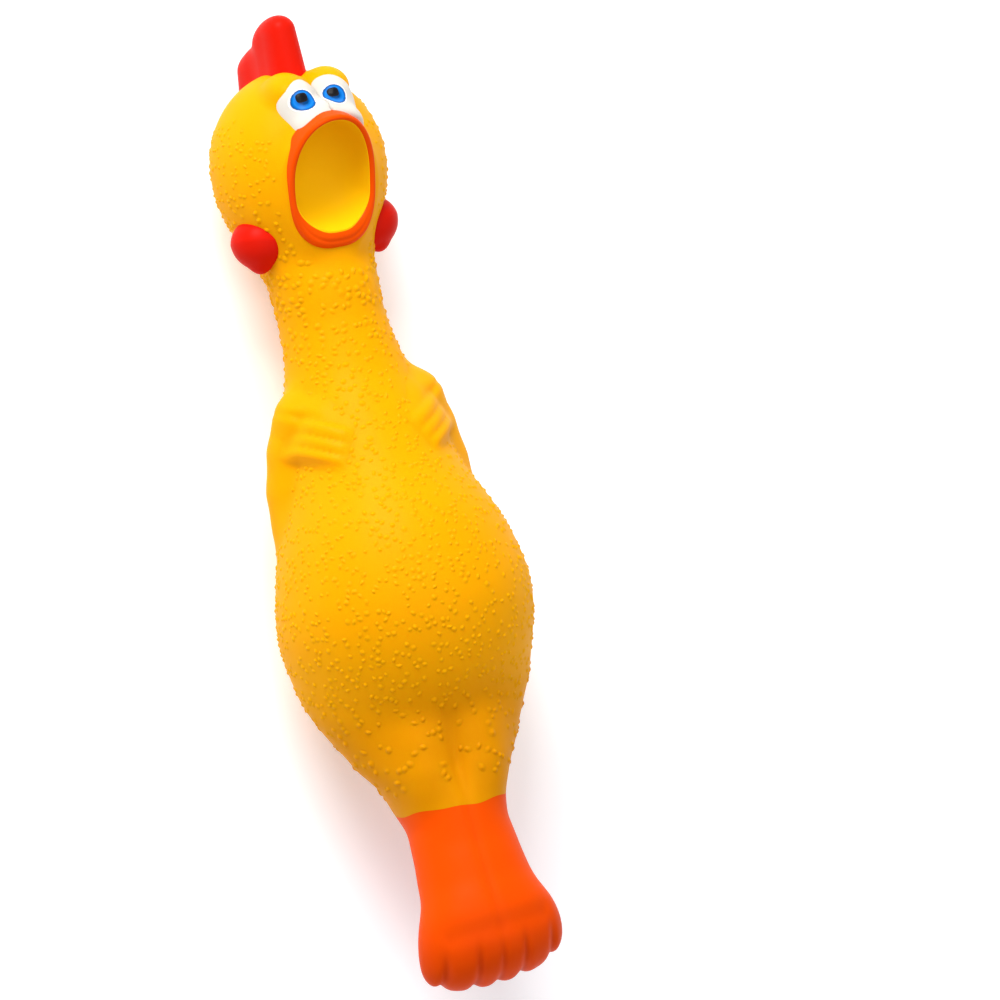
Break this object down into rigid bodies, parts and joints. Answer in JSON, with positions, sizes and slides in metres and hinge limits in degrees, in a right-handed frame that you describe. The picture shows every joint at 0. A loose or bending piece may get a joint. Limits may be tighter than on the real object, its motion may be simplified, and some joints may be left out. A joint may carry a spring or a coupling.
{
  "type": "rubber chicken",
  "caption": "Hollow soft-vinyl squeeze chicken lying on its back, with a gaping beak, bending neck and legs and a reed squeaker in its back.",
  "frame": {"origin": "on the resting plane, under the middle of the overall length and width", "axes": "+Y from the toes to the comb, +X to the chicken's own left, +Z out of the belly, away from the resting plane"},
  "size_m": [0.06, 0.228, 0.055],
  "materials": {
    "yellow_vinyl": "matte satin",
    "orange_vinyl": "satin",
    "red_vinyl": "satin",
    "eye_white": "satin",
    "iris_blue": "satin",
    "pupil_black": "gloss",
    "squeaker_plastic": "satin",
    "reed_brass": "satin"
  },
  "bodies": {
    "torso": {"torso_skin": "yellow_vinyl", "wing_right": "yellow_vinyl", "wing_left": "yellow_vinyl", "squeaker_cup": "squeaker_plastic", "squeaker_cap": "squeaker_plastic", "reed_block": "squeaker_plastic", "reed_collar": "squeaker_plastic"},
    "neck": {"neck_skin": "yellow_vinyl"},
    "head": {"head_skin": "yellow_vinyl", "comb": "red_vinyl", "wattle_right": "red_vinyl", "wattle_left": "red_vinyl", "beak_rim": "orange_vinyl", "mouth_cup": "yellow_vinyl", "eye_white_right": "eye_white", "eye_white_left": "eye_white", "iris_right": "iris_blue", "iris_left": "iris_blue", "pupil_right": "pupil_black", "pupil_left": "pupil_black"},
    "legs": {"leg_skin": "orange_vinyl"},
    "reed": {"reed": "reed_brass"}
  },
  "joints": [
    {"name": "neck_bend", "type": "hinge", "parent": "torso", "child": "neck", "pos_m": [0, 0.033, 0.019], "axis": [1, 0, 0], "range_deg": [-40, 40], "stiffness_Nm_per_rad": 0.3},
    {"name": "head_tilt", "type": "hinge", "parent": "neck", "child": "head", "pos_m": [0, 0.053, 0.019], "axis": [0, 0, 1], "range_deg": [-30, 30], "stiffness_Nm_per_rad": 0.2},
    {"name": "leg_bend", "type": "hinge", "parent": "torso", "child": "legs", "pos_m": [0, -0.076, 0.032], "axis": [1, 0, 0], "range_deg": [-32, 32], "stiffness_Nm_per_rad": 0.2},
    {"name": "reed_flutter", "type": "hinge", "parent": "torso", "child": "reed", "pos_m": [0.00135, -0.03, 0.009], "axis": [0, 1, 0], "range_deg": [-2, 2], "stiffness_Nm_per_rad": 0.002}
  ]
}
